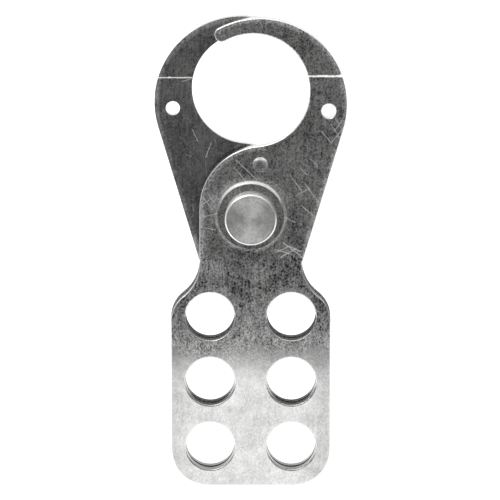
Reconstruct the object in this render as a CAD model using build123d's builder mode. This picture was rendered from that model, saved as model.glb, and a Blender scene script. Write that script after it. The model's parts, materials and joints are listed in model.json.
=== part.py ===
from build123d import *
from math import asin, atan2, cos, hypot, pi, sin, sqrt
import os

# Lockout hasp: two pressed plates of one outline that scissor on one rivet.
# Millimetres. The origin is the centre of the closed jaws, halfway between the plates.
# +Z points up through the jaws, +X to the front plate's jaw, and -Y out of the front.

# Plates
THICKNESS = 2.5
GAP = 1.4                   # between the two plates' flat inner faces

# Jaw
JAW_R = 12.8                # inner edge of the jaw
JAW_X = 0.45                # its centre, towards the plate's own side
RIM_R = 19.7                # outer edge of the jaw
RIM_X, RIM_Z = 2.0, -3.3
TIP_ANGLE = 29              # degrees past the top of the jaw's inner edge
CREASE_Z = 3.3              # the jaw above this line is set in towards the other plate
REAR_CREASE_Z = 2.35        # the same line on the rear plate, bent a little lower
CREASE_HEIGHT = 0.3         # of the sloping step along the line
JAW_CLEARANCE = 0.2         # between the two set-in jaws

# Neck and the sweep from the neck to the jaw's inner edge
NECK_HALF = 11.6
SWEEP_R = 14.5

# Tab with the padlock holes
TAB_HALF = 18.1
TAB_BOTTOM_Z = -91.3
TAB_CORNER_R = 8.5
SHOULDER_Z = -39.8          # where the neck starts to widen
SHOULDER_HOLLOW_R = 9.5
SHOULDER_ROUND_R = 7.5
LOCK_HOLE_R = 5.5
LOCK_HOLE_X = 9.2
LOCK_HOLE_TOP_Z = -52.0
LOCK_HOLE_PITCH = 15.0
LOCK_HOLE_ROWS = 3

# Small hole in the jaw's outer side
CORD_HOLE_R = 1.6
CORD_HOLE_X, CORD_HOLE_Z = 17.55, -4.7

# Pressed seat round the pivot: a recess outside and a boss inside
PIVOT_Z = -28.9
SEAT_R = 7.4
SEAT_DEPTH = 0.65           # under the rivet head
SEAT_RIM_DEPTH = 0.73       # of the floor's outer edge, which falls away a little from the head
SEAT_ROLL_R = 1.65          # the face leans into the seat, then turns down sharply
SEAT_ROLL_ANGLE = 45
SEAT_EDGE_R = 0.3
BOSS_R = 6.9

# Pressed stop: a dimple outside and a bump inside. The two bumps meet when the hasp is closed.
STOP_X, STOP_Z = 2.15, -16.9
DIMPLE_R = 1.8
DIMPLE_DEPTH = 0.55
DIMPLE_EDGE_R = 0.2         # rolled rim
BUMP_R = 2.1
BUMP_HEIGHT = 0.95

# Rivet
SHANK_R = 4.0
RUNNING_CLEARANCE = 0.05    # round the shank and under the rear head
HEAD_R = 5.85
HEAD_PROUD = 3.7            # front head above the front plate's face
HEAD_CHAMFER = 0.3
TAIL_R = 5.9
TAIL_PROUD = 1.4            # formed rear head above the rear plate's face
TAIL_FLAT_R = 2.6
TAIL_ROUND_R = 5.0

# Edges
BLANK_EDGE_R = 0.35         # rolled edge that the blanking die leaves on the outer face
PRESS_R = 0.25              # small radii of the pressed features

INNER_Y = GAP / 2                                   # distance of a plate's inner face from the middle
OUTER_Y = INNER_Y + THICKNESS
JAW_STEP = (GAP - JAW_CLEARANCE) / 2
SEAT_FLOOR_Y = OUTER_Y - SEAT_DEPTH
FAR = 40                                            # reaches past the plate's width
NEAR = 0.001                                        # tolerance for picking edges

pivot = Axis((0, 0, PIVOT_Z), (0, 1, 0))


def outline():
    """Closed outline of one plate, seen from the front, with its jaw on the +X side."""
    jaw = (JAW_X, 0)
    rim = (RIM_X, RIM_Z)

    # The flank runs from the neck to touch the rim
    neck = (NECK_HALF, SHOULDER_Z)
    to_rim = hypot(neck[0] - rim[0], neck[1] - rim[1])
    lean = asin(RIM_R / to_rim) - atan2(neck[0] - rim[0], rim[1] - neck[1])
    flank_top = (rim[0] + RIM_R * cos(lean), rim[1] - RIM_R * sin(lean))

    # The sweep touches the neck's left side and the jaw's inner edge
    sweep_x = SWEEP_R - NECK_HALF
    reach = JAW_R + SWEEP_R
    sweep_z = -sqrt(reach**2 - (sweep_x - JAW_X) ** 2)
    share = JAW_R / reach
    sweep_end = (JAW_X + (sweep_x - JAW_X) * share, sweep_z * share)
    half_turn = (atan2(sweep_end[1] - sweep_z, sweep_end[0] - sweep_x) + pi) / 2
    sweep_middle = (sweep_x + SWEEP_R * cos(half_turn), sweep_z + SWEEP_R * sin(half_turn))

    # The tip is a half round between the jaw's two edges
    turn = (90 + TIP_ANGLE) * pi / 180
    out = (cos(turn), sin(turn))
    tip_inner = (jaw[0] + JAW_R * out[0], JAW_R * out[1])
    from_rim = (tip_inner[0] - rim[0], tip_inner[1] - rim[1])
    along = from_rim[0] * out[0] + from_rim[1] * out[1]
    width = -along + sqrt(along**2 - from_rim[0] ** 2 - from_rim[1] ** 2 + RIM_R**2)
    tip_outer = (tip_inner[0] + width * out[0], tip_inner[1] + width * out[1])
    tip_end = (
        (tip_inner[0] + tip_outer[0] - width * out[1]) / 2,
        (tip_inner[1] + tip_outer[1] + width * out[0]) / 2,
    )

    # Each shoulder is a hollow arc that runs into a round one
    across = NECK_HALF + SHOULDER_HOLLOW_R - (TAB_HALF - SHOULDER_ROUND_R)
    arcs = SHOULDER_HOLLOW_R + SHOULDER_ROUND_R
    drop = sqrt(arcs**2 - across**2)
    part = SHOULDER_HOLLOW_R / arcs
    shoulder_middle = (NECK_HALF + SHOULDER_HOLLOW_R - across * part, SHOULDER_Z - drop * part)
    shoulder_end = (TAB_HALF, SHOULDER_Z - drop)
    corner_side = (TAB_HALF, TAB_BOTTOM_Z + TAB_CORNER_R)
    corner_foot = (TAB_HALF - TAB_CORNER_R, TAB_BOTTOM_Z)

    def left(point):
        return (-point[0], point[1])

    with BuildLine() as edge:
        ThreePointArc(tip_outer, (rim[0], rim[1] + RIM_R), flank_top)
        Line(flank_top, neck)
        RadiusArc(neck, shoulder_middle, -SHOULDER_HOLLOW_R)
        RadiusArc(shoulder_middle, shoulder_end, SHOULDER_ROUND_R)
        Line(shoulder_end, corner_side)
        RadiusArc(corner_side, corner_foot, TAB_CORNER_R)
        Line(corner_foot, left(corner_foot))
        RadiusArc(left(corner_foot), left(corner_side), TAB_CORNER_R)
        Line(left(corner_side), left(shoulder_end))
        RadiusArc(left(shoulder_end), left(shoulder_middle), SHOULDER_ROUND_R)
        RadiusArc(left(shoulder_middle), left(neck), -SHOULDER_HOLLOW_R)
        Line(left(neck), (-NECK_HALF, sweep_z))
        ThreePointArc((-NECK_HALF, sweep_z), sweep_middle, sweep_end)
        ThreePointArc(sweep_end, (JAW_X + JAW_R, 0), tip_inner)
        ThreePointArc(tip_inner, tip_end, tip_outer)
    return edge.line


def side_view(x, z):
    """Plane that looks along -X through a point of the plate: its own X runs along +Y, its own Y up."""
    return Plane((x, 0, z), x_dir=(0, 1, 0), z_dir=(1, 0, 0))


def disc_profile(x, z, radius, height):
    """Half section of a round disc with a rounded rim, raised on the plate's inner face."""
    root_y = -INNER_Y - THICKNESS / 4
    top_y = -INNER_Y + height
    with BuildSketch(side_view(x, z)) as half:
        with BuildLine():
            Polyline((root_y, 0), (root_y, radius), (top_y - PRESS_R, radius))
            CenterArc((top_y - PRESS_R, radius - PRESS_R), PRESS_R, 0, 90)
            Polyline((top_y, radius - PRESS_R), (top_y, 0), (root_y, 0))
        make_face()
    return half.sketch


def plate(bore_r, crease_z):
    """One plate, placed as the front one, with its pivot bore's radius and its crease's height."""
    rows = [LOCK_HOLE_TOP_Z - i * LOCK_HOLE_PITCH for i in range(LOCK_HOLE_ROWS)]

    with BuildPart() as body:
        # Blank
        with BuildSketch(Plane.XZ):
            with BuildLine():
                add(outline())
            make_face()
            with Locations([(x, z) for z in rows for x in (-LOCK_HOLE_X, LOCK_HOLE_X)]):
                Circle(LOCK_HOLE_R, mode=Mode.SUBTRACT)
            with Locations((CORD_HOLE_X, CORD_HOLE_Z)):
                Circle(CORD_HOLE_R, mode=Mode.SUBTRACT)
        extrude(amount=OUTER_Y + 1)

        # Side view of the sheet, with the step that sets the jaw in
        low, high = crease_z - CREASE_HEIGHT / 2, crease_z + CREASE_HEIGHT / 2
        with BuildSketch(Plane.YZ):
            Polygon(
                (-OUTER_Y, TAB_BOTTOM_Z - 1),
                (-INNER_Y, TAB_BOTTOM_Z - 1),
                (-INNER_Y, low),
                (-INNER_Y + JAW_STEP, high),
                (-INNER_Y + JAW_STEP, FAR),
                (-OUTER_Y + JAW_STEP, FAR),
                (-OUTER_Y + JAW_STEP, high),
                (-OUTER_Y, low),
                align=None,
            )
        extrude(amount=FAR, both=True, mode=Mode.INTERSECT)

        # Rolled edges on the outer face, all but the crease and its short sloping ends
        outer = body.edges().filter_by_position(Axis.Y, -OUTER_Y - NEAR, -OUTER_Y + JAW_STEP + NEAR)
        step_reach = CREASE_HEIGHT / 2 + NEAR
        fillet(outer.filter_by(lambda e: abs(e.center().Z - crease_z) > step_reach), BLANK_EDGE_R)

        # Seat for the rivet head, with a rolled rim, and the boss behind it
        lean = SEAT_ROLL_ANGLE * pi / 180
        rim_r = SEAT_R + SEAT_ROLL_R * sin(lean) + SEAT_EDGE_R * (1 - sin(lean))
        with BuildSketch(side_view(0, PIVOT_Z)):
            with BuildLine():
                roll = JernArc((-OUTER_Y, rim_r), (0, -1), SEAT_ROLL_R, SEAT_ROLL_ANGLE)
                lip = JernArc(roll @ 1, roll % 1, SEAT_EDGE_R, 90 - SEAT_ROLL_ANGLE)
                Polyline(
                    lip @ 1,
                    (-OUTER_Y + SEAT_RIM_DEPTH, SEAT_R),
                    (-SEAT_FLOOR_Y, HEAD_R),
                    (-SEAT_FLOOR_Y, 0),
                    (-OUTER_Y - 1, 0),
                    (-OUTER_Y - 1, rim_r),
                    (-OUTER_Y, rim_r),
                )
            make_face()
        revolve(axis=pivot, mode=Mode.SUBTRACT)
        revolve(disc_profile(0, PIVOT_Z, BOSS_R, SEAT_DEPTH), axis=pivot)

        # Stop: a dimple outside, where the rolled rim runs into a hollow, and a bump inside
        stop = Axis((STOP_X, 0, STOP_Z), (0, 1, 0))
        slope = 2 * atan2(DIMPLE_DEPTH, DIMPLE_R)
        hollow_r = DIMPLE_R / sin(slope) - DIMPLE_EDGE_R
        with BuildSketch(side_view(STOP_X, STOP_Z)):
            with BuildLine():
                roll = JernArc((-OUTER_Y, DIMPLE_R), (0, -1), DIMPLE_EDGE_R, slope * 180 / pi)
                hollow = JernArc(roll @ 1, roll % 1, hollow_r, -slope * 180 / pi)
                Polyline(hollow @ 1, (-OUTER_Y - 1, 0), (-OUTER_Y - 1, DIMPLE_R), (-OUTER_Y, DIMPLE_R))
            make_face()
        revolve(axis=stop, mode=Mode.SUBTRACT)
        revolve(disc_profile(STOP_X, STOP_Z, BUMP_R, BUMP_HEIGHT), axis=stop)

        # Pivot bore
        with BuildSketch(Plane.XZ):
            with Locations((0, PIVOT_Z)):
                Circle(bore_r)
        extrude(amount=OUTER_Y + 1, mode=Mode.SUBTRACT)
    return body.part


os.makedirs("parts", exist_ok=True)

# Front plate, held fast by the rivet
with BuildPart() as front_plate:
    add(plate(SHANK_R, CREASE_Z))
front_plate.part.label = "front_plate"
export_step(front_plate.part, "parts/front_plate.step")

# Rear plate: the same outline turned round, free to turn on the shank
with BuildPart() as rear_plate:
    add(plate(SHANK_R + RUNNING_CLEARANCE, REAR_CREASE_Z), rotation=(0, 0, 180))
rear_plate.part.label = "rear_plate"
export_step(rear_plate.part, "parts/rear_plate.step")

# Pivot rivet: turned front head, shank, and rear head formed over the rear plate
with BuildPart() as pivot_rivet:
    face_y = -OUTER_Y - HEAD_PROUD
    tail_y = SEAT_FLOOR_Y + RUNNING_CLEARANCE
    tail_top_y = OUTER_Y + TAIL_PROUD
    with BuildSketch(side_view(0, PIVOT_Z)):
        with BuildLine():
            Polyline(
                (face_y, 0),
                (face_y, HEAD_R - HEAD_CHAMFER),
                (face_y + HEAD_CHAMFER, HEAD_R),
                (-SEAT_FLOOR_Y, HEAD_R),
                (-SEAT_FLOOR_Y, SHANK_R),
                (tail_y, SHANK_R),
                (tail_y, TAIL_R),
                (OUTER_Y, TAIL_R),
            )
            RadiusArc((OUTER_Y, TAIL_R), (tail_top_y, TAIL_FLAT_R), TAIL_ROUND_R)
            Polyline((tail_top_y, TAIL_FLAT_R), (tail_top_y, 0), (face_y, 0))
        make_face()
    revolve(axis=pivot)
pivot_rivet.part.label = "pivot_rivet"
export_step(pivot_rivet.part, "parts/pivot_rivet.step")
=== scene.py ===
import math

import bmesh
import bpy
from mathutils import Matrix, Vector
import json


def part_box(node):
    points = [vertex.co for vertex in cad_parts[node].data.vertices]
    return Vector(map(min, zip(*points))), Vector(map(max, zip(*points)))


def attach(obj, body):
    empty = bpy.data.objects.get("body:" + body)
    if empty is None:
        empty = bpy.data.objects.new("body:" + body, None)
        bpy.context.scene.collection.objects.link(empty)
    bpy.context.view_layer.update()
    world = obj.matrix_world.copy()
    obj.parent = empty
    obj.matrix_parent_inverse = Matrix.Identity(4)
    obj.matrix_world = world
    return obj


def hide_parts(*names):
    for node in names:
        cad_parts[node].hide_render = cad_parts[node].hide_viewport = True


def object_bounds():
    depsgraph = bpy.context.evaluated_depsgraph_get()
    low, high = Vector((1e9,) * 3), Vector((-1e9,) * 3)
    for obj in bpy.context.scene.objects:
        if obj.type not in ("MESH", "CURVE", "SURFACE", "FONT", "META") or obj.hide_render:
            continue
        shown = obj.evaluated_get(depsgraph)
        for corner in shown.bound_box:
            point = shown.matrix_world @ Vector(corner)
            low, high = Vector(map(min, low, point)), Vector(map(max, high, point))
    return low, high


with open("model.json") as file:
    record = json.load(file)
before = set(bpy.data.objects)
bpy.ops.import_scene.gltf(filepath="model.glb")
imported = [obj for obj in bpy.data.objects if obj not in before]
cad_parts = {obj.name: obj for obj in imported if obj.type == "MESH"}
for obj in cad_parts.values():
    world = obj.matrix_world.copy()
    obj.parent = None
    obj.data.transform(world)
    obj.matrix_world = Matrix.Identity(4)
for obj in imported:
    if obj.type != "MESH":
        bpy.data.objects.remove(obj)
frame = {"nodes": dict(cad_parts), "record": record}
cad_low, cad_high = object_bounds()

# Lockout hasp. The two pressed plates are the CAD meshes, with a worn steel material each.
# The rivet is a lathed piece with turning marks, which stands for the CAD rivet.

# ---------------------------------------------------------------- places, from the frame
MM = 0.001
PER_MM = 1 / MM

record = frame["record"]
PIVOT = Vector(record["behaviour"]["joints"][0]["pos_m"]) * PER_MM
LOCK_HOLES = [mount for mount in record["mounts"] if mount["name"].startswith("padlock")]
LOCK_HOLE_R = LOCK_HOLES[0]["dims"]["r_mm"]
# Shape of one plate's outline, in mm, for the wear along its edges
RIM_CENTRE, RIM_R = (2.0, -3.3), 19.7
NECK_HALF, SHOULDER_Z = 11.6, -39.8
FLANK_LEAN = math.radians(16.7)
SWEEP_CENTRE, SWEEP_R = (2.9, -27.2), 14.5
CREASE_Z, REAR_CREASE_Z = 3.3, 2.35
CREASE_HEIGHT = 0.3
SEAT_RIM_R = 8.7
FAR = 100                   # puts the far side of the sweep's circle out of reach

RIVET_FACE_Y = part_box("pivot_rivet")[0].y * PER_MM
RIVET_TAIL_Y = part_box("pivot_rivet")[1].y * PER_MM
PLATE_FACE_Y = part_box("rear_plate")[1].y * PER_MM


# ---------------------------------------------------------------- camera
CAMERA_DISTANCE = 1.5
CAMERA_ELEVATION = math.radians(11.8)
CAMERA_LENS = 477.5
CAMERA_AIM = Vector((-0.00017, 0, -0.03718))


def add_camera():
    data = bpy.data.cameras.new("camera")
    data.lens = CAMERA_LENS
    data.sensor_width = 36
    data.clip_start = 0.1
    data.clip_end = 50
    camera = bpy.data.objects.new("camera", data)
    bpy.context.scene.collection.objects.link(camera)
    back = Vector((0, -math.cos(CAMERA_ELEVATION), math.sin(CAMERA_ELEVATION)))
    camera.location = CAMERA_AIM + back * CAMERA_DISTANCE
    camera.rotation_euler = back.to_track_quat("Z", "Y").to_euler()
    bpy.context.scene.camera = camera


# ---------------------------------------------------------------- nodes
class Graph:
    """Short calls for building a node tree. Every call returns an output socket."""

    def __init__(self, tree):
        self.tree = tree
        tree.nodes.clear()

    def add(self, kind, settings=None, inputs=None, output=0):
        node = self.tree.nodes.new(kind)
        for name, value in (settings or {}).items():
            setattr(node, name, value)
        for name, value in (inputs or {}).items():
            self.put(node.inputs[name], value)
        return node.outputs[output]

    def put(self, socket, value):
        if isinstance(value, bpy.types.NodeSocket):
            self.tree.links.new(value, socket)
        else:
            socket.default_value = value

    def math(self, operation, a, b=0.0):
        return self.add("ShaderNodeMath", {"operation": operation}, {0: a, 1: b})

    def total(self, *terms):
        result = terms[0]
        for term in terms[1:]:
            result = self.math("ADD", result, term)
        return result

    def product(self, *terms):
        result = terms[0]
        for term in terms[1:]:
            result = self.math("MULTIPLY", result, term)
        return result

    def without(self, mask):
        """1 where the mask is 0, and 0 where it is 1."""
        return self.math("SUBTRACT", 1.0, mask)

    def shade(self, tone, mask, amount=1.0):
        """The tone made lighter by this share of itself where the mask is 1; below 0, darker."""
        return self.product(tone, self.total(1.0, self.product(mask, amount)))

    def vector(self, operation, a, b=(0, 0, 0)):
        return self.add("ShaderNodeVectorMath", {"operation": operation}, {0: a, 1: b})

    def length(self, vector):
        return self.add("ShaderNodeVectorMath", {"operation": "LENGTH"}, {0: vector}, output=1)

    def split(self, vector):
        return self.add("ShaderNodeSeparateXYZ", {}, {0: vector}).node.outputs

    def turned(self, vector, angle):
        """The vector turned about the Y axis."""
        return self.add(
            "ShaderNodeVectorRotate", {"rotation_type": "Y_AXIS"}, {"Vector": vector, "Angle": angle}
        )

    def noise(self, vector, scale, detail=2.0, roughness=0.5):
        """Noise round zero, about -0.5 to 0.5."""
        raw = self.add(
            "ShaderNodeTexNoise",
            {"noise_dimensions": "3D"},
            {"Vector": vector, "Scale": scale, "Detail": detail, "Roughness": roughness},
        )
        return self.math("SUBTRACT", raw, 0.5)

    def ramp(self, value, low, high, out_low=0.0, out_high=1.0):
        return self.add(
            "ShaderNodeMapRange",
            {"interpolation_type": "SMOOTHSTEP", "clamp": True},
            {"Value": value, "From Min": low, "From Max": high, "To Min": out_low, "To Max": out_high},
        )

    def mix(self, share, a, b):
        return self.add("ShaderNodeMix", {"data_type": "FLOAT"}, {0: share, 2: a, 3: b})

    def most(self, masks):
        result = masks[0]
        for mask in masks[1:]:
            result = self.math("MAXIMUM", result, mask)
        return result

    def bump(self, height, strength, distance):
        inputs = {"Strength": strength, "Distance": distance, "Height": height}
        return self.add("ShaderNodeBump", {}, inputs)

    def grey(self, value, tint=(1.0, 1.0, 1.0)):
        combined = self.add("ShaderNodeCombineColor", {}, {"Red": value, "Green": value, "Blue": value})
        return self.add(
            "ShaderNodeMix",
            {"data_type": "RGBA", "blend_type": "MULTIPLY"},
            {"Factor": 1.0, 6: combined, 7: (*tint, 1.0)},
            output=2,
        )


def new_material(name, metallic=1.0):
    material = bpy.data.materials.new(name)
    material.use_nodes = True
    graph = Graph(material.node_tree)
    shader = graph.tree.nodes.new("ShaderNodeBsdfPrincipled")
    output = graph.tree.nodes.new("ShaderNodeOutputMaterial")
    graph.tree.links.new(shader.outputs[0], output.inputs[0])
    shader.inputs["Metallic"].default_value = metallic
    return material, graph, shader


# ---------------------------------------------------------------- steel of the plates
STEEL_TINT = (1.0, 0.996, 0.988)

# Reflectance. A pair in braces is for the front plate, 1, and the rear plate, -1.
JAW_STEEL = {1: 0.35, -1: 0.26}     # darker steel at the jaw, partly a painted dim reflection
DARK_STEEL = {1: 0.35, -1: 0.21}    # and at the neck
PALER_STEEL = 0.40                  # the band below the neck
BRIGHT_STEEL = 0.525                # the tab, cleaner steel and partly a painted reflection of the pale floor
EDGE_HIGHLIGHT = 0.66                    # painted highlight on the edges
BARED_AND_CREASE_HIGHLIGHT = 0.95                        # scratches, and the painted highlight along the crease
SEAT_LIP_HIGHLIGHT = 0.97                     # painted highlight on the upper side of the seat's rim
PUNCHED_WALL_AND_SHADE = 0.22                      # walls of the padlock holes: dark sheared steel, and painted shade inside them

# Roughness
DARK_ROUGH, PALER_ROUGH, CLEAN_ROUGH = 0.34, 0.29, 0.25
EDGE_ROUGH, LIP_ROUGH, WORN_ROUGH = 0.26, 0.16, 0.6

# Noise: scale in features per mm, detail, roughness
GRAIN = (3.6, 2, 0.7)
COARSE = (1.1, 3, 0.65)
STREAK = (1.7, 3, 0.65)
CLOUD = (0.13, 4, 0.62)
BLOTCH = (0.17, 5, 0.62)
RAGGED = (0.9, 3, 0.6)
SPECK = (1.9, 2, 0.6)
SMUDGE = (0.4, 5, 0.65)
# Noise that breaks up the painted highlight along the crease
CREASE_BREAKUP = (2.2, 3, 0.7)
BREAKS = (1.5, 3, 0.7)
FINE_LINE = (3.4, 1, 0.4)
FINE_LIMIT = 0.225                  # noise above this is a fine scratch
GRAIN_STRETCH, STREAK_STRETCH, SMUDGE_STRETCH = (1, 1, 0.8), (1, 1, 0.13), (0.6, 1, 1)
REAR_SHIFT = 37                     # so that the rear plate's noise differs from the front plate's

# How strongly each kind of noise shows in the tone
GRAIN_SHOWS = {1: 3.9, -1: 2.6}
COARSE_SHOWS, STREAK_SHOWS, CLOUD_SHOWS, PALER_CLOUD_SHOWS = 0.9, 1.3, 1.5, 2.4
# The third share lifts a painted highlight above the seat's rim
SPECK_SHOWS, SMUDGE_SHOWS, HALO_HIGHLIGHT_SHOWS, BAND_SHOWS = -0.5, 0.5, 0.9, 0.9
FINE_SHOWS = 0.55

# Where the steel changes, in mm: each mask runs from its first value to its second
JAW_FADE = (-30, 5)                 # height, from the neck's steel to the jaw's
PALER_FADE, CLEAN_FADE = (-34, -43), (-57.2, -62)   # height
PALER_BLOTCHES, CLEAN_BLOTCHES = 26, 12             # how far blotches push these two borders
BAND_FOOT = (-42, -38)              # height at which the band along the long edges starts
EDGE_BAND, EDGE_BAND_RAGGED = (1.3, 0.5), 1.6       # distance from a long edge
TAB_SIDE = (12, 17)                 # distance from the tab's middle
RUBBED_RING = (1.8, 1.1)            # distance from a padlock hole's wall
BORE_REACH = 0.2                    # steel this near to a hole's wall can be part of the wall
SEAT_FLOOR_RIM = (6.6, 7.2)         # distance from the pivot
SCRATCH_WIDTH = 0.115

# Directions (radians) and lengths of the fine random scratches
FINE_SCRATCHES = [(0.75, 12), (-0.6, 10), (1.35, 14), (0.1, 16)]

# Scratches on the faces that look to the front, listed one by one as (x, z) ends in mm
FRONT_SCRATCHES = [
    ((-3.8, -17.5), (-1.2, -20.6)),
    ((-3.3, -15.8), (1.4, -20.4)),
    ((7.5, -28.9), (10.1, -30.2)),
    ((5.8, -37.1), (8.6, -35.6)),
    ((8.6, -35.6), (11.2, -36.9)),
    ((11.2, -17.7), (12.7, -19.3)),
    ((13.4, -15.5), (15.1, -17.3)),
    ((19.0, -6.4), (20.6, -8.9)),
    ((20.6, -6.6), (18.8, -9.2)),
    ((18.0, -7.6), (19.9, -10.6)),
    ((20.9, -8.4), (18.2, -11.8)),
    ((15.9, -9.2), (18.3, -12.2)),
    ((-11.0, -28.9), (-7.7, -28.2)),
    ((-10.4, -31.4), (-7.9, -31.9)),
    ((-11.2, -26.3), (-8.5, -24.4)),
    ((-10.7, -24.3), (-8.6, -27.4)),
    ((-9.7, -23.4), (-8.3, -25.6)),
    ((5.4, -36.4), (9.3, -37.5)),
    ((7.3, -34.8), (11.6, -38.2)),
    ((6.6, -38.3), (10.3, -36.1)),
    ((12.2, -21.2), (15.0, -25.2)),
    ((10.1, -24.0), (13.3, -22.3)),
    ((11.4, -26.2), (14.1, -28.7)),
    ((8.8, -19.3), (11.5, -22.9)),
]
REAR_SCRATCHES = [
    ((-8.9, -12.6), (-10.2, -16.0)),
    ((-13.2, -9.6), (-12.0, -12.1)),
    ((-15.4, 1.4), (-13.6, 2.0)),
]


def scratch(g, place, start, end):
    """Mask of one thin scratch between two points of the face."""
    start = Vector((start[0], 0, start[1]))
    run = Vector((end[0], 0, end[1])) - start
    offset = g.vector("SUBTRACT", place, tuple(start))
    dot = g.add("ShaderNodeVectorMath", {"operation": "DOT_PRODUCT"}, {0: offset, 1: tuple(run)}, output=1)
    share = g.math("DIVIDE", dot, run.length_squared)
    share = g.add("ShaderNodeClamp", {}, {"Value": share, "Min": 0.0, "Max": 1.0})
    nearest = g.add("ShaderNodeVectorMath", {"operation": "SCALE"}, {0: tuple(run), "Scale": share})
    gap = g.length(g.vector("SUBTRACT", offset, nearest))
    return g.ramp(gap, SCRATCH_WIDTH, SCRATCH_WIDTH * 0.3)


def edge_gap(g, place, side):
    """Distance in mm from a point of the face to the nearer long edge of a plate.

    side is 1 for the front plate, whose jaw is on the +X side, and -1 for the rear one.
    """
    own = g.vector("MULTIPLY", place, (side, 1, 1))
    x, _, z = g.split(own)

    def from_centre(centre):
        return g.length(g.vector("SUBTRACT", own, (centre[0], 0, centre[1])))

    across, rise = math.cos(FLANK_LEAN), math.sin(FLANK_LEAN)
    flank_reach = across * NECK_HALF - rise * SHOULDER_Z
    along_flank = g.math("SUBTRACT", g.product(x, across), g.product(z, rise))
    flank = g.math("SUBTRACT", flank_reach, along_flank)
    rim = g.math("SUBTRACT", RIM_R, from_centre(RIM_CENTRE))
    tangent_z = RIM_CENTRE[1] - RIM_R * rise
    outer = g.mix(g.math("GREATER_THAN", z, tangent_z), flank, rim)

    neck = g.total(x, NECK_HALF)
    sweep = g.math("SUBTRACT", SWEEP_R, from_centre(SWEEP_CENTRE))
    above = g.math("GREATER_THAN", z, SWEEP_CENTRE[1])
    inner = g.mix(above, neck, sweep)
    past_sweep = g.math("GREATER_THAN", g.total(x, z), SWEEP_CENTRE[0] + SWEEP_CENTRE[1] + SWEEP_R)
    inner = g.total(inner, g.product(past_sweep, FAR))
    return g.math("MINIMUM", outer, inner)


def fine_scratches(g, point, angle, length):
    """Mask of many fine lines that run at an angle, from noise drawn out along them."""
    lines = g.vector("MULTIPLY", g.turned(point, angle), (1.0, 1.0, 1 / length))
    return g.ramp(g.noise(lines, *FINE_LINE), FINE_LIMIT, FINE_LIMIT + 0.05)


def tab_masks(g, place, point, ragged):
    """Masks of the paler band, the clean tab and its sides, the rubbed steel, and the holes' walls."""
    x, _, height = g.split(place)
    blotch = g.noise(point, *BLOTCH)
    paler = g.ramp(g.total(height, g.product(blotch, PALER_BLOTCHES)), *PALER_FADE)
    clean = g.ramp(g.total(height, g.product(blotch, CLEAN_BLOTCHES)), *CLEAN_FADE)
    tab_side = g.ramp(g.math("ABSOLUTE", x), *TAB_SIDE)

    # Smoother, lighter ring round each padlock hole, where the shackle has rubbed
    rings, bores = [], []
    for hole in LOCK_HOLES:
        centre = (hole["pos_m"][0] * PER_MM, 0, hole["pos_m"][2] * PER_MM)
        from_hole = g.length(g.vector("SUBTRACT", place, centre))
        rings.append(g.ramp(g.total(from_hole, ragged), *(LOCK_HOLE_R + reach for reach in RUBBED_RING)))
        bores.append(g.math("LESS_THAN", from_hole, LOCK_HOLE_R + BORE_REACH))
    rubbed = g.math("MAXIMUM", g.most(rings), g.product(tab_side, paler, 0.8))
    return paler, clean, tab_side, rubbed, g.most(bores)


def seat_masks(g, from_pivot, height, upward):
    """Masks of the seat's painted shade on its lower side, a painted highlight on its upper lip, and a
    painted highlight above the lip.
    """
    outside, inside = SEAT_RIM_R + 0.1, SEAT_RIM_R - 0.1
    shaded = g.product(g.ramp(from_pivot, SEAT_RIM_R, inside), g.ramp(upward, -0.2, 0.4))
    slope = g.product(g.ramp(from_pivot, outside, inside), g.ramp(from_pivot, *SEAT_FLOOR_RIM))
    lip_highlight = g.product(slope, g.ramp(upward, -0.15, -0.35))
    seat_halo_highlight = g.product(
        g.ramp(from_pivot, SEAT_RIM_R + 1.5, SEAT_RIM_R - 0.3),
        g.ramp(height, PIVOT.z, PIVOT.z + 7),
        g.ramp(from_pivot, SEAT_RIM_R - 1.1, SEAT_RIM_R - 0.5),
    )
    return shaded, lip_highlight, seat_halo_highlight


def crease_masks(g, point, height, crease_z):
    """Masks of a painted highlight along the crease, a ragged white line, and of the strip round it."""
    off_crease = g.math("ABSOLUTE", g.math("SUBTRACT", height, crease_z))
    near = g.ramp(off_crease, CREASE_HEIGHT * 2, CREASE_HEIGHT)
    off_crease = g.total(off_crease, g.product(g.noise(point, *CREASE_BREAKUP), 0.95))
    return g.ramp(off_crease, CREASE_HEIGHT * 0.75, CREASE_HEIGHT * 0.3), near


def sheet_texture(g, point, grains, paler, clean, rubbed):
    """Grains, streaks and clouds of the sheet: calm on the tab, and strongest just above it."""
    streak = g.noise(g.vector("MULTIPLY", point, STREAK_STRETCH), *STREAK)
    cloud = g.noise(point, *CLOUD)
    cloud_shows = g.mix(paler, CLOUD_SHOWS, PALER_CLOUD_SHOWS)
    texture = g.total(grains, g.product(streak, STREAK_SHOWS), g.product(cloud, cloud_shows))
    calm = g.math("MAXIMUM", g.product(clean, 1.22), g.product(rubbed, 0.5))
    return g.product(texture, g.math("SUBTRACT", g.mix(paler, 1.0, 1.5), calm))


def wear_mask(g, place, point, faces_front, clean, scratches):
    """Mask of the listed scratches, on the faces that look to the front, and of the fine ones."""
    by_hand = g.most([scratch(g, place, start, end) for start, end in scratches])
    fine = g.most([fine_scratches(g, point, angle, length) for angle, length in FINE_SCRATCHES])
    broken = g.ramp(g.noise(point, *BREAKS), -0.2, 0.0, 0.5, 1.0)
    worn = g.math("MAXIMUM", g.product(by_hand, faces_front, broken), g.product(fine, FINE_SHOWS))
    return g.shade(worn, clean, -0.9)


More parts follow.
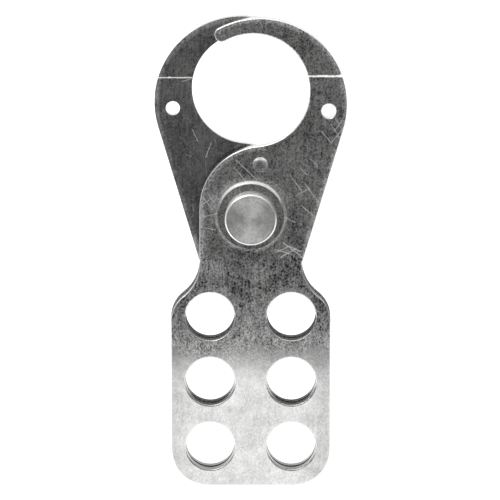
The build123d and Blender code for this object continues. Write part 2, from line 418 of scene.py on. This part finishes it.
def plate_steel(name, side, crease_z, scratches):
    """Steel of one plate: side is 1 for the front plate and -1 for the rear one."""
    material, g, shader = new_material(name)
    coordinates = g.add("ShaderNodeTexCoord").node.outputs
    in_mm = g.vector("MULTIPLY", coordinates["Object"], (PER_MM,) * 3)
    place = g.vector("MULTIPLY", in_mm, (1, 0, 1))
    point = g.vector("ADD", in_mm, (0 if side > 0 else REAR_SHIFT,) * 3)
    height = g.split(place)[2]
    normal = g.split(coordinates["Normal"])
    slope = g.without(g.math("ABSOLUTE", normal[1]))
    from_pivot = g.length(g.vector("SUBTRACT", place, (PIVOT.x, 0, PIVOT.z)))

    ragged = g.noise(point, *RAGGED)
    paler, clean, tab_side, rubbed, bore = tab_masks(g, place, point, ragged)
    # Painted shade and painted highlights round the seat
    shaded, lip_highlight, seat_halo_highlight = seat_masks(g, from_pivot, height, normal[2])
    crease_highlight, near_crease = crease_masks(g, point, height, crease_z)

    grain = g.noise(g.vector("MULTIPLY", point, GRAIN_STRETCH), *GRAIN)
    coarse = g.noise(point, *COARSE)
    texture = g.total(g.product(grain, GRAIN_SHOWS[side]), g.product(coarse, COARSE_SHOWS))
    texture = sheet_texture(g, point, texture, paler, clean, rubbed)
    faces_front = g.math("LESS_THAN", normal[1], -0.5)
    worn = wear_mask(g, place, point, faces_front, clean, scratches)
    # Real scratches, together with the painted highlight along the crease
    bared_and_crease_highlight = g.math("MAXIMUM", worn, crease_highlight)

    # Tone of the faces: darker up the plate and brighter on the tab, partly the steel's own tone and
    # partly a painted reflection, dim on the upper plate and pale on the tab
    tone = g.ramp(height, *JAW_FADE, DARK_STEEL[side], JAW_STEEL[side])
    tone = g.mix(paler, tone, PALER_STEEL)
    bright = g.shade(BRIGHT_STEEL, tab_side, -0.13)
    tone = g.mix(g.math("MAXIMUM", clean, g.product(rubbed, 0.6)), tone, bright)
    tone = g.shade(tone, texture)
    speck = g.product(g.ramp(g.noise(point, *SPECK), 0.17, 0.22), g.ramp(coarse, -0.02, 0.1))
    tone = g.shade(tone, speck, SPECK_SHOWS)
    smudge = g.noise(g.vector("MULTIPLY", point, SMUDGE_STRETCH), *SMUDGE)
    tone = g.shade(tone, g.product(smudge, clean), SMUDGE_SHOWS)
    # Painted highlight above the seat's rim
    tone = g.shade(tone, seat_halo_highlight, HALO_HIGHLIGHT_SHOWS)

    # Lighter band along the long edges
    gap = g.total(edge_gap(g, place, side), g.product(ragged, EDGE_BAND_RAGGED))
    tone = g.shade(tone, g.product(g.ramp(gap, *EDGE_BAND), g.ramp(height, *BAND_FOOT)), BAND_SHOWS)

    # Painted highlight on the edges: brightest where they face down, towards the pale floor; painted shade
    # keeps it off the seat's lower side
    leaning = g.math("SUBTRACT", slope, g.product(normal[2], 0.25))
    edge = g.product(g.ramp(leaning, 0.015, 0.09), g.shade(1.0, shaded, -0.9), g.without(near_crease))
    tone = g.mix(edge, tone, g.mix(lip_highlight, EDGE_HIGHLIGHT, SEAT_LIP_HIGHLIGHT))
    # Walls of the padlock holes: dark sheared steel, and painted shade inside the holes
    tone = g.mix(g.product(bore, g.ramp(slope, 0.6, 0.9)), tone, PUNCHED_WALL_AND_SHADE)
    tone = g.mix(bared_and_crease_highlight, tone, BARED_AND_CREASE_HIGHLIGHT)

    # Bared steel is rough; the painted highlights along the crease and on the seat's lip are less
    # metallic, so they stay pale
    flat_rough = g.mix(clean, g.mix(paler, DARK_ROUGH, PALER_ROUGH), CLEAN_ROUGH)
    rough = g.mix(edge, flat_rough, g.mix(lip_highlight, EDGE_ROUGH, LIP_ROUGH))
    rough = g.total(rough, g.product(grain, 0.15))
    dull = g.math("MAXIMUM", g.product(crease_highlight, 0.7), g.product(lip_highlight, 0.6))
    relief = g.total(grain, g.product(coarse, 0.6), g.product(worn, -0.4))
    relief = g.shade(relief, clean, -0.6)
    bump = g.bump(relief, strength=0.35, distance=0.03 * MM)
    g.put(shader.inputs["Base Color"], g.grey(tone, STEEL_TINT))
    g.put(shader.inputs["Metallic"], g.without(dull))
    g.put(shader.inputs["Roughness"], g.mix(bared_and_crease_highlight, rough, WORN_ROUGH))
    g.put(shader.inputs["Normal"], bump)
    return material


def dress(node, material):
    mesh = frame["nodes"][node].data
    mesh.materials.clear()
    mesh.materials.append(material)


# ---------------------------------------------------------------- rivet
HEAD_R = 5.84
HEAD_CHAMFER = 0.36
HEAD_ROLL = 0.1             # of the two corners of the chamfer
SHANK_R = 3.99
SEAT_DEPTH = 0.64           # how far the heads reach below the plates' faces
RUNNING_GAP = 0.06
TAIL_R = 5.88
TAIL_BREAK = 0.15           # broken corner under the tail
TAIL_FLAT_R = 2.7
TURN_DEPTH = 0.016          # of the turning marks on the front head
TURN_STEP = 0.05            # between the points of the profile across them
TURN_FADE = 0.15            # they fade out this near to the chamfer
RING_PITCH, FINE_PITCH, PIP_R = 0.56, 0.23, 0.22
SIDE_WAVE, DOME_WAVE, FLAT_WAVE = 0.006, 0.004, 0.008   # depth of the unevenness
ROLL_STEPS, SIDE_STEPS, DOME_STEPS, FLAT_STEPS = 6, 40, 24, 14
SEGMENTS = 160
SHARP_FROM = math.radians(50)
# The middle value is the tone of a painted highlight on the head's chamfer
TURNED_STEEL, TURNED_RIM_HIGHLIGHT, TURNED_ROUGH = 0.9, 0.92, 0.42


def turning_mark(radius):
    """Depth of the turning marks at a radius: two sets of rings, with a small centre pip."""
    rings = math.sin(radius * math.tau / RING_PITCH) + 0.6 * math.sin(radius * math.tau / FINE_PITCH + 1.0)
    pip = 3.0 * math.exp(-((radius / PIP_R) ** 2))
    return TURN_DEPTH * (1.6 + rings + pip)


def rivet_profile():
    """(y, radius) in mm, from the middle of the front face to the middle of the formed tail."""
    flat_r = HEAD_R - HEAD_CHAMFER
    steps = round(flat_r / TURN_STEP)
    profile = []
    for i in range(1, steps + 1):
        radius = flat_r * i / steps
        fade = min(1.0, (flat_r - radius) / TURN_FADE)
        profile.append((RIVET_FACE_Y + turning_mark(radius) * fade, radius))

    # Chamfer of the head, between two rolled corners
    side_top = RIVET_FACE_Y + HEAD_CHAMFER
    for i in range(1, ROLL_STEPS + 1):
        turn = math.pi / 4 * i / ROLL_STEPS
        y = RIVET_FACE_Y + HEAD_ROLL * (1 - math.cos(turn))
        profile.append((y, flat_r + HEAD_ROLL * math.sin(turn)))
    for i in range(ROLL_STEPS + 1):
        turn = math.pi / 4 * (1 + i / ROLL_STEPS)
        y = side_top - HEAD_ROLL * math.cos(turn)
        profile.append((y, HEAD_R - HEAD_ROLL * (1 - math.sin(turn))))

    # Side of the head, and the shank
    side_foot = -PLATE_FACE_Y + SEAT_DEPTH
    for i in range(1, SIDE_STEPS + 1):
        y = side_top + (side_foot - side_top) * i / SIDE_STEPS
        profile.append((y, HEAD_R - SIDE_WAVE * (1 + math.sin(i * 2.2))))
    tail_foot = PLATE_FACE_Y - SEAT_DEPTH + RUNNING_GAP
    profile += [(side_foot, SHANK_R), (tail_foot, SHANK_R)]
    profile += [(tail_foot, TAIL_R - TAIL_BREAK), (tail_foot + TAIL_BREAK, TAIL_R)]

    # Formed tail: a low dome with a flat top
    rise = RIVET_TAIL_Y - PLATE_FACE_Y
    for i in range(DOME_STEPS + 1):
        turn = math.pi / 2 * i / DOME_STEPS
        y = PLATE_FACE_Y + rise * math.sin(turn) - DOME_WAVE * (1 - math.cos(i * 2.6))
        profile.append((y, TAIL_FLAT_R + (TAIL_R - TAIL_FLAT_R) * math.cos(turn)))
    for i in range(1, FLAT_STEPS):
        y = RIVET_TAIL_Y - FLAT_WAVE * (1 - math.cos(i * 1.9))
        profile.append((y, TAIL_FLAT_R * (1 - i / FLAT_STEPS)))
    return profile


def add_rivet(material):
    profile = rivet_profile()
    mesh = bpy.data.meshes.new("rivet_turned")
    shape = bmesh.new()
    rings = []
    for y, radius in profile:
        ring = []
        for i in range(SEGMENTS):
            turn = math.tau * i / SEGMENTS
            spot = Vector((radius * math.cos(turn), y, PIVOT.z + radius * math.sin(turn)))
            ring.append(shape.verts.new(spot * MM))
        rings.append(ring)
    for inner, outer in zip(rings, rings[1:]):
        for i in range(SEGMENTS):
            j = (i + 1) % SEGMENTS
            shape.faces.new((inner[i], inner[j], outer[j], outer[i]))
    for ring, y in ((rings[0], profile[0][0]), (rings[-1], profile[-1][0])):
        middle = shape.verts.new(Vector((0, y, PIVOT.z)) * MM)
        for i in range(SEGMENTS):
            shape.faces.new((middle, ring[i], ring[(i + 1) % SEGMENTS]))
    bmesh.ops.recalc_face_normals(shape, faces=shape.faces)
    for face in shape.faces:
        face.smooth = True
    for edge in shape.edges:
        edge.smooth = edge.is_boundary or edge.calc_face_angle(0) < SHARP_FROM
    shape.to_mesh(mesh)
    shape.free()
    mesh.materials.append(material)
    piece = bpy.data.objects.new("rivet_turned", mesh)
    bpy.context.scene.collection.objects.link(piece)
    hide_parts("pivot_rivet")
    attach(piece, "front_half")


def rivet_steel(name):
    material, g, shader = new_material(name)
    coordinates = g.add("ShaderNodeTexCoord").node.outputs
    point = g.vector("SUBTRACT", g.vector("MULTIPLY", coordinates["Object"], (PER_MM,) * 3), tuple(PIVOT))
    along = g.split(point)[1]
    radius = g.length(g.vector("MULTIPLY", point, (1, 0, 1)))
    facing = g.split(coordinates["Normal"])[1]
    slope = g.without(g.math("ABSOLUTE", facing))

    wobble = g.product(g.noise(point, 0.5), 0.3)
    ring_place = g.add("ShaderNodeCombineXYZ", {}, {0: radius, 1: along, 2: wobble})
    rings = g.noise(ring_place, 3.0, 4, 0.7)
    grain = g.noise(point, 2.4, 3, 0.7)
    cloud = g.noise(point, 0.4, 2, 0.5)
    tone = g.shade(TURNED_STEEL, g.total(g.product(rings, 0.55), g.product(grain, 0.9), cloud))
    # Painted sheen: darker to the left and right of the middle, as light falls on a turned face
    sheen_sector = g.math("POWER", g.math("DIVIDE", g.split(point)[0], g.math("MAXIMUM", radius, 0.5)), 2.0)
    tone = g.shade(tone, g.product(sheen_sector, g.ramp(g.total(radius, cloud), 0.5, 2.5)), -0.28)
    # Painted highlight on the sloped faces between the head's face and its side
    rim = g.product(g.ramp(slope, 0.03, 0.15), g.ramp(slope, 0.97, 0.85))
    tone = g.mix(rim, tone, TURNED_RIM_HIGHLIGHT)

    g.put(shader.inputs["Base Color"], g.grey(tone, STEEL_TINT))
    g.put(shader.inputs["Roughness"], g.total(TURNED_ROUGH, g.product(grain, 0.1)))
    relief = g.total(g.product(rings, 0.7), g.product(grain, 0.3))
    g.put(shader.inputs["Normal"], g.bump(relief, strength=0.3, distance=0.02 * MM))
    shader.inputs["Anisotropic"].default_value = 0.55
    shader.inputs["Anisotropic Rotation"].default_value = 0.25
    g.put(shader.inputs["Tangent"], g.add("ShaderNodeTangent", {"direction_type": "RADIAL", "axis": "Y"}))
    return material


# ---------------------------------------------------------------- floor and light
FLOOR_DROP = 0.06           # the hasp hangs clear of the floor
FLOOR_SIZE = 12.0
FLOOR_WHITE = 0.92
FLAG_DISTANCE = 0.045
FLAG_HALF = 0.4             # half of a card's width
FLAG_LOW, FLAG_HIGH = -0.0723, 0.09
BACK_FLAG_HIGH = -0.03      # the back card stays low, so the pale backdrop shows in the upper edges
FLAG_GREY = 0.2
SOFTBOX_PLACE, SOFTBOX_AIM = (-0.45, -0.1, 0.9), (0, 0, -0.04)
SOFTBOX_SIZE, SOFTBOX_POWER = 0.6, 4
ROOM_LEVEL, OVERHEAD_LEVEL, LEFT_LEVEL, BACKDROP_LEVEL = 0.3, 1.5, 1.0, 0.8


def add_sheet(name, corners, colour):
    mesh = bpy.data.meshes.new(name)
    mesh.from_pydata(corners, [], [(0, 1, 2, 3)])
    sheet = bpy.data.objects.new(name, mesh)
    bpy.context.scene.collection.objects.link(sheet)
    material, _, shader = new_material(name, metallic=0.0)
    shader.inputs["Base Color"].default_value = (colour, colour, colour, 1)
    shader.inputs["Roughness"].default_value = 0.9
    mesh.materials.append(material)
    return sheet


def add_floor():
    half = FLOOR_SIZE / 2
    z = cad_low.z - FLOOR_DROP
    corners = [(-half, -half, z), (half, -half, z), (half, half, z), (-half, half, z)]
    add_sheet("floor", corners, FLOOR_WHITE)


def add_flags():
    """Dark cards before and behind, seen only in the metal, as a studio sets them round steel."""
    left, right, low = -FLAG_HALF, FLAG_HALF, FLAG_LOW
    for name, y, high in (
        ("flag_front", -FLAG_DISTANCE, FLAG_HIGH),
        ("flag_back", FLAG_DISTANCE, BACK_FLAG_HIGH),
    ):
        corners = [(left, y, low), (right, y, low), (right, y, high), (left, y, high)]
        flag = add_sheet(name, corners, FLAG_GREY)
        flag.visible_camera = False
        flag.visible_diffuse = False
        flag.visible_transmission = False
        flag.visible_shadow = False


def add_softbox():
    data = bpy.data.lights.new("softbox", "AREA")
    data.shape = "RECTANGLE"
    data.size = data.size_y = SOFTBOX_SIZE
    data.energy = SOFTBOX_POWER
    light = bpy.data.objects.new("softbox", data)
    bpy.context.scene.collection.objects.link(light)
    light.location = SOFTBOX_PLACE
    back = Vector(SOFTBOX_PLACE) - Vector(SOFTBOX_AIM)
    light.rotation_euler = back.to_track_quat("Z", "Y").to_euler()


def add_world():
    """Studio surroundings: dim low down, and brighter overhead, on the left and behind."""
    world = bpy.data.worlds.new("studio")
    bpy.context.scene.world = world
    world.use_nodes = True
    g = Graph(world.node_tree)
    x, y, z = g.split(g.add("ShaderNodeTexCoord"))
    overhead = g.ramp(z, 0.45, 0.85, 0.0, OVERHEAD_LEVEL)
    left = g.ramp(x, -0.1, -0.9, 0.0, LEFT_LEVEL)
    backdrop = g.ramp(y, 0.2, 0.8, 0.0, BACKDROP_LEVEL)
    level = g.total(overhead, left, backdrop, ROOM_LEVEL)
    background = g.add("ShaderNodeBackground", {}, {"Color": g.grey(level), "Strength": 1.0})
    out = g.tree.nodes.new("ShaderNodeOutputWorld")
    g.tree.links.new(background, out.inputs["Surface"])


add_camera()
add_floor()
add_flags()
add_world()
add_softbox()
dress("front_plate", plate_steel("pressed_steel_front", 1, CREASE_Z, FRONT_SCRATCHES))
dress("rear_plate", plate_steel("pressed_steel_rear", -1, REAR_CREASE_Z, REAR_SCRATCHES))
add_rivet(rivet_steel("turned_steel"))
bpy.context.scene.view_settings.view_transform = "Standard"
